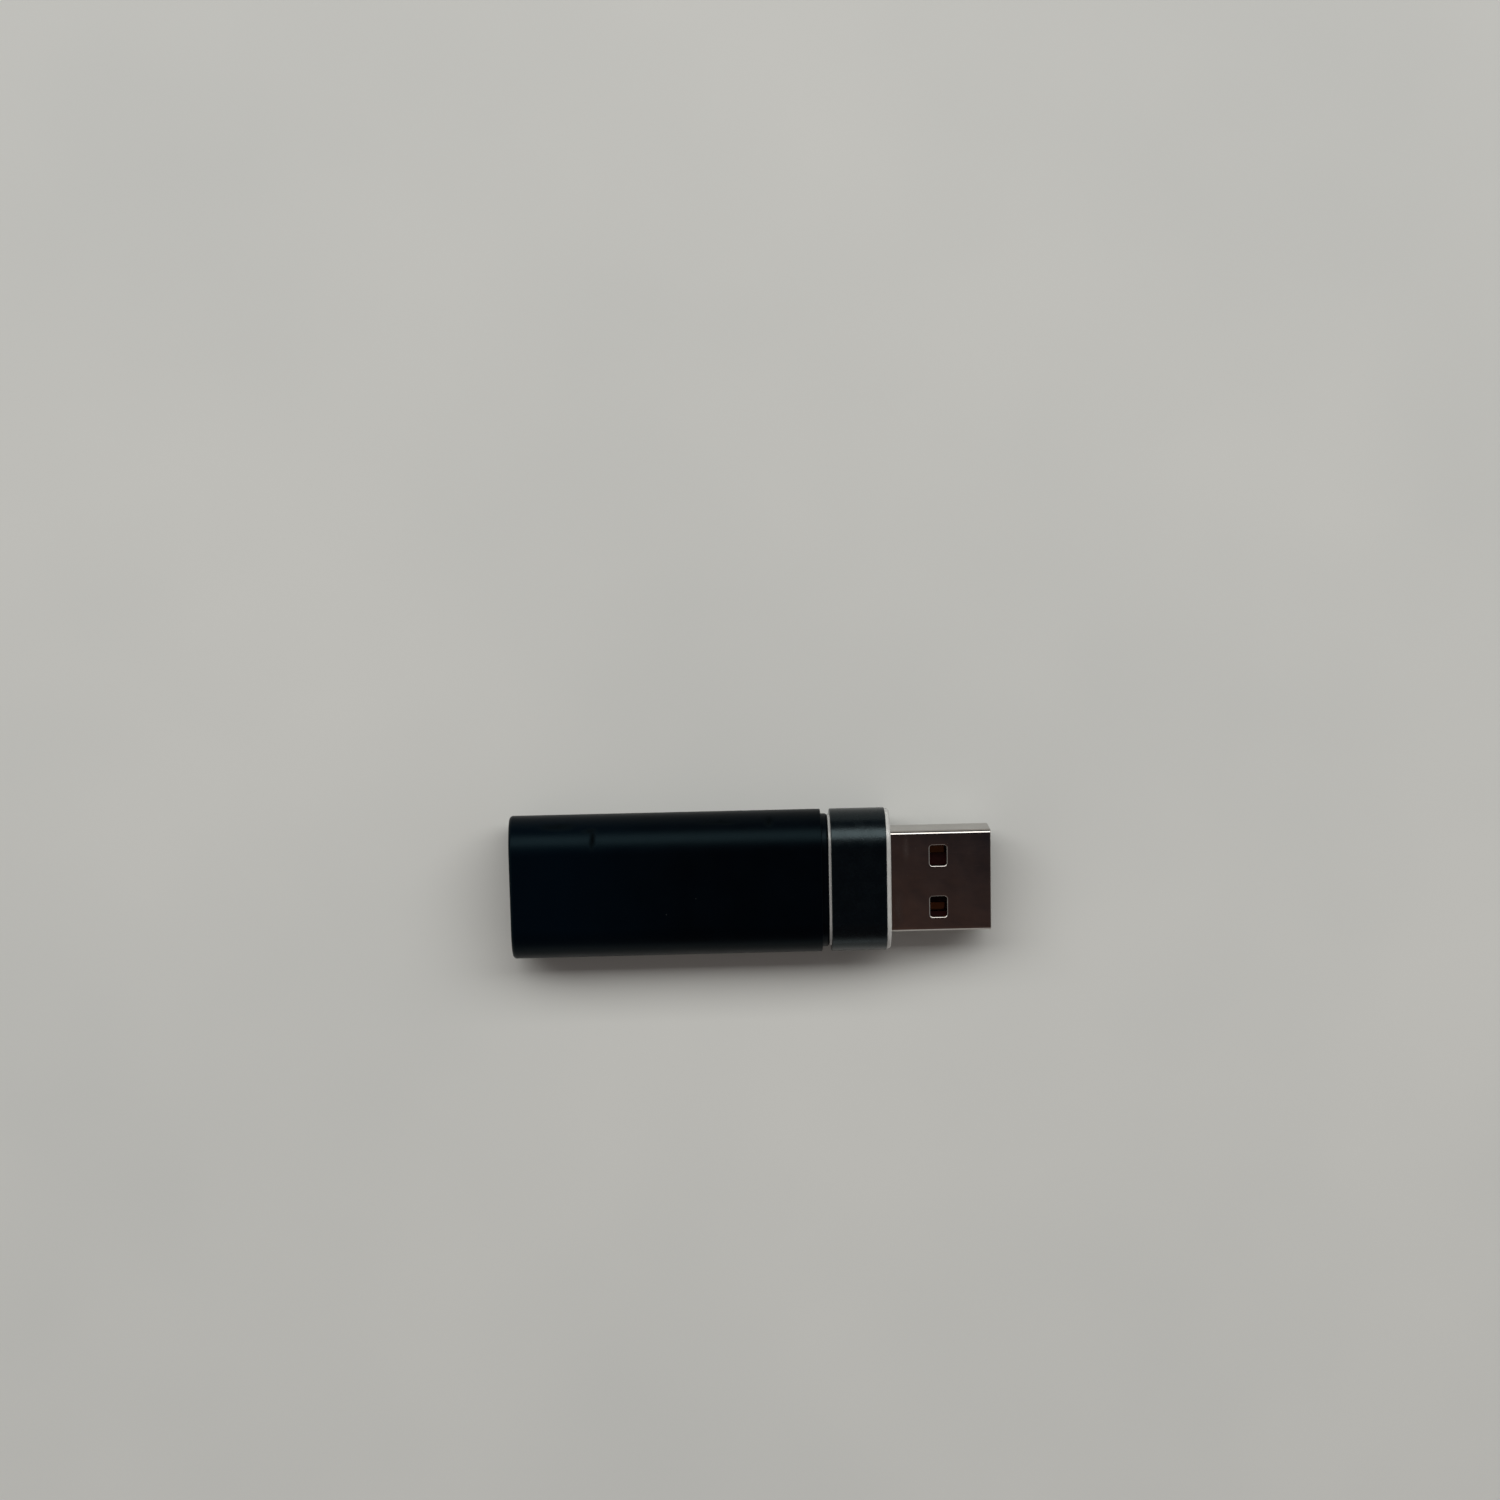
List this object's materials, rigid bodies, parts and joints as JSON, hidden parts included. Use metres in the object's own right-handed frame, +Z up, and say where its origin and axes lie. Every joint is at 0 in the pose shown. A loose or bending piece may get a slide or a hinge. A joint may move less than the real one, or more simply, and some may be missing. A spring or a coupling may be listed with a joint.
{
  "type": "usb dongle",
  "caption": "Stick-shaped USB-A dongle: matte black sleeve that slides as a push button, metal collar on a clear light guide, steel plug, and a populated circuit board inside.",
  "frame": {"origin": "middle of the underside of the whole stick, on the surface that it lies on", "axes": "+X along the stick, out of the plug; +Y across the wide face; +Z up, out of the wide face that has no shell seam"},
  "size_m": [0.056, 0.0168, 0.0082],
  "materials": {
    "sleeve_black": "matte blue-black",
    "carrier_black": "fine matte black",
    "collar_coat": "satin blue-black with fine metallic grain",
    "clear_guide": "clear and slightly milky, polished",
    "plug_steel": "nickel-plated sheet steel, satin",
    "tongue_plastic": "dark red-brown moulded",
    "contact_gold": "gold-plated",
    "solder_mask": "green solder mask",
    "chip_epoxy": "matte black moulded",
    "crystal_can": "plated lid on a ceramic base",
    "ferrite": "grey ferrite",
    "capacitor_ceramic": "tan ceramic with tinned ends",
    "resistor_glaze": "black glaze with tinned ends",
    "led_lens": "milky lens",
    "bare_copper": "etched copper foil",
    "switch_plastic": "black moulded",
    "spring_steel": "thin stamped steel",
    "plunger_plastic": "natural white moulded"
  },
  "bodies": {
    "base": {"chassis_tray": "carrier_black", "chassis_lid": "carrier_black", "collar": "collar_coat", "light_guide": "clear_guide", "usb_shell": "plug_steel", "usb_insulator": "tongue_plastic", "usb_contacts": "contact_gold", "circuit_board": "solder_mask", "microcontroller": "chip_epoxy", "crystal": "crystal_can", "flash_memory": "chip_epoxy", "voltage_regulator": "chip_epoxy", "esd_array": "chip_epoxy", "ferrite_bead": "ferrite", "capacitors": "capacitor_ceramic", "resistors": "resistor_glaze", "status_leds": "led_lens", "printed_antenna": "bare_copper", "antenna_filter": "capacitor_ceramic", "programming_pads": "contact_gold", "switch_base": "switch_plastic", "switch_frame": "spring_steel", "switch_terminals": "spring_steel", "switch_dome": "spring_steel"},
    "button_sleeve": {"sleeve": "sleeve_black"},
    "plunger": {"switch_plunger": "plunger_plastic"}
  },
  "joints": [
    {"name": "sleeve_press", "type": "slide", "parent": "base", "child": "button_sleeve", "axis": [1, 0, 0], "range_m": [0, 0.0004], "stiffness_N_per_m": 5000},
    {"name": "plunger_press", "type": "slide", "parent": "base", "child": "plunger", "axis": [1, 0, 0], "range_m": [0, 0.0004], "deforming": ["switch_dome"]}
  ],
  "couplings": [
    {"joint": "plunger_press", "follows": "sleeve_press", "ratio": 1}
  ]
}
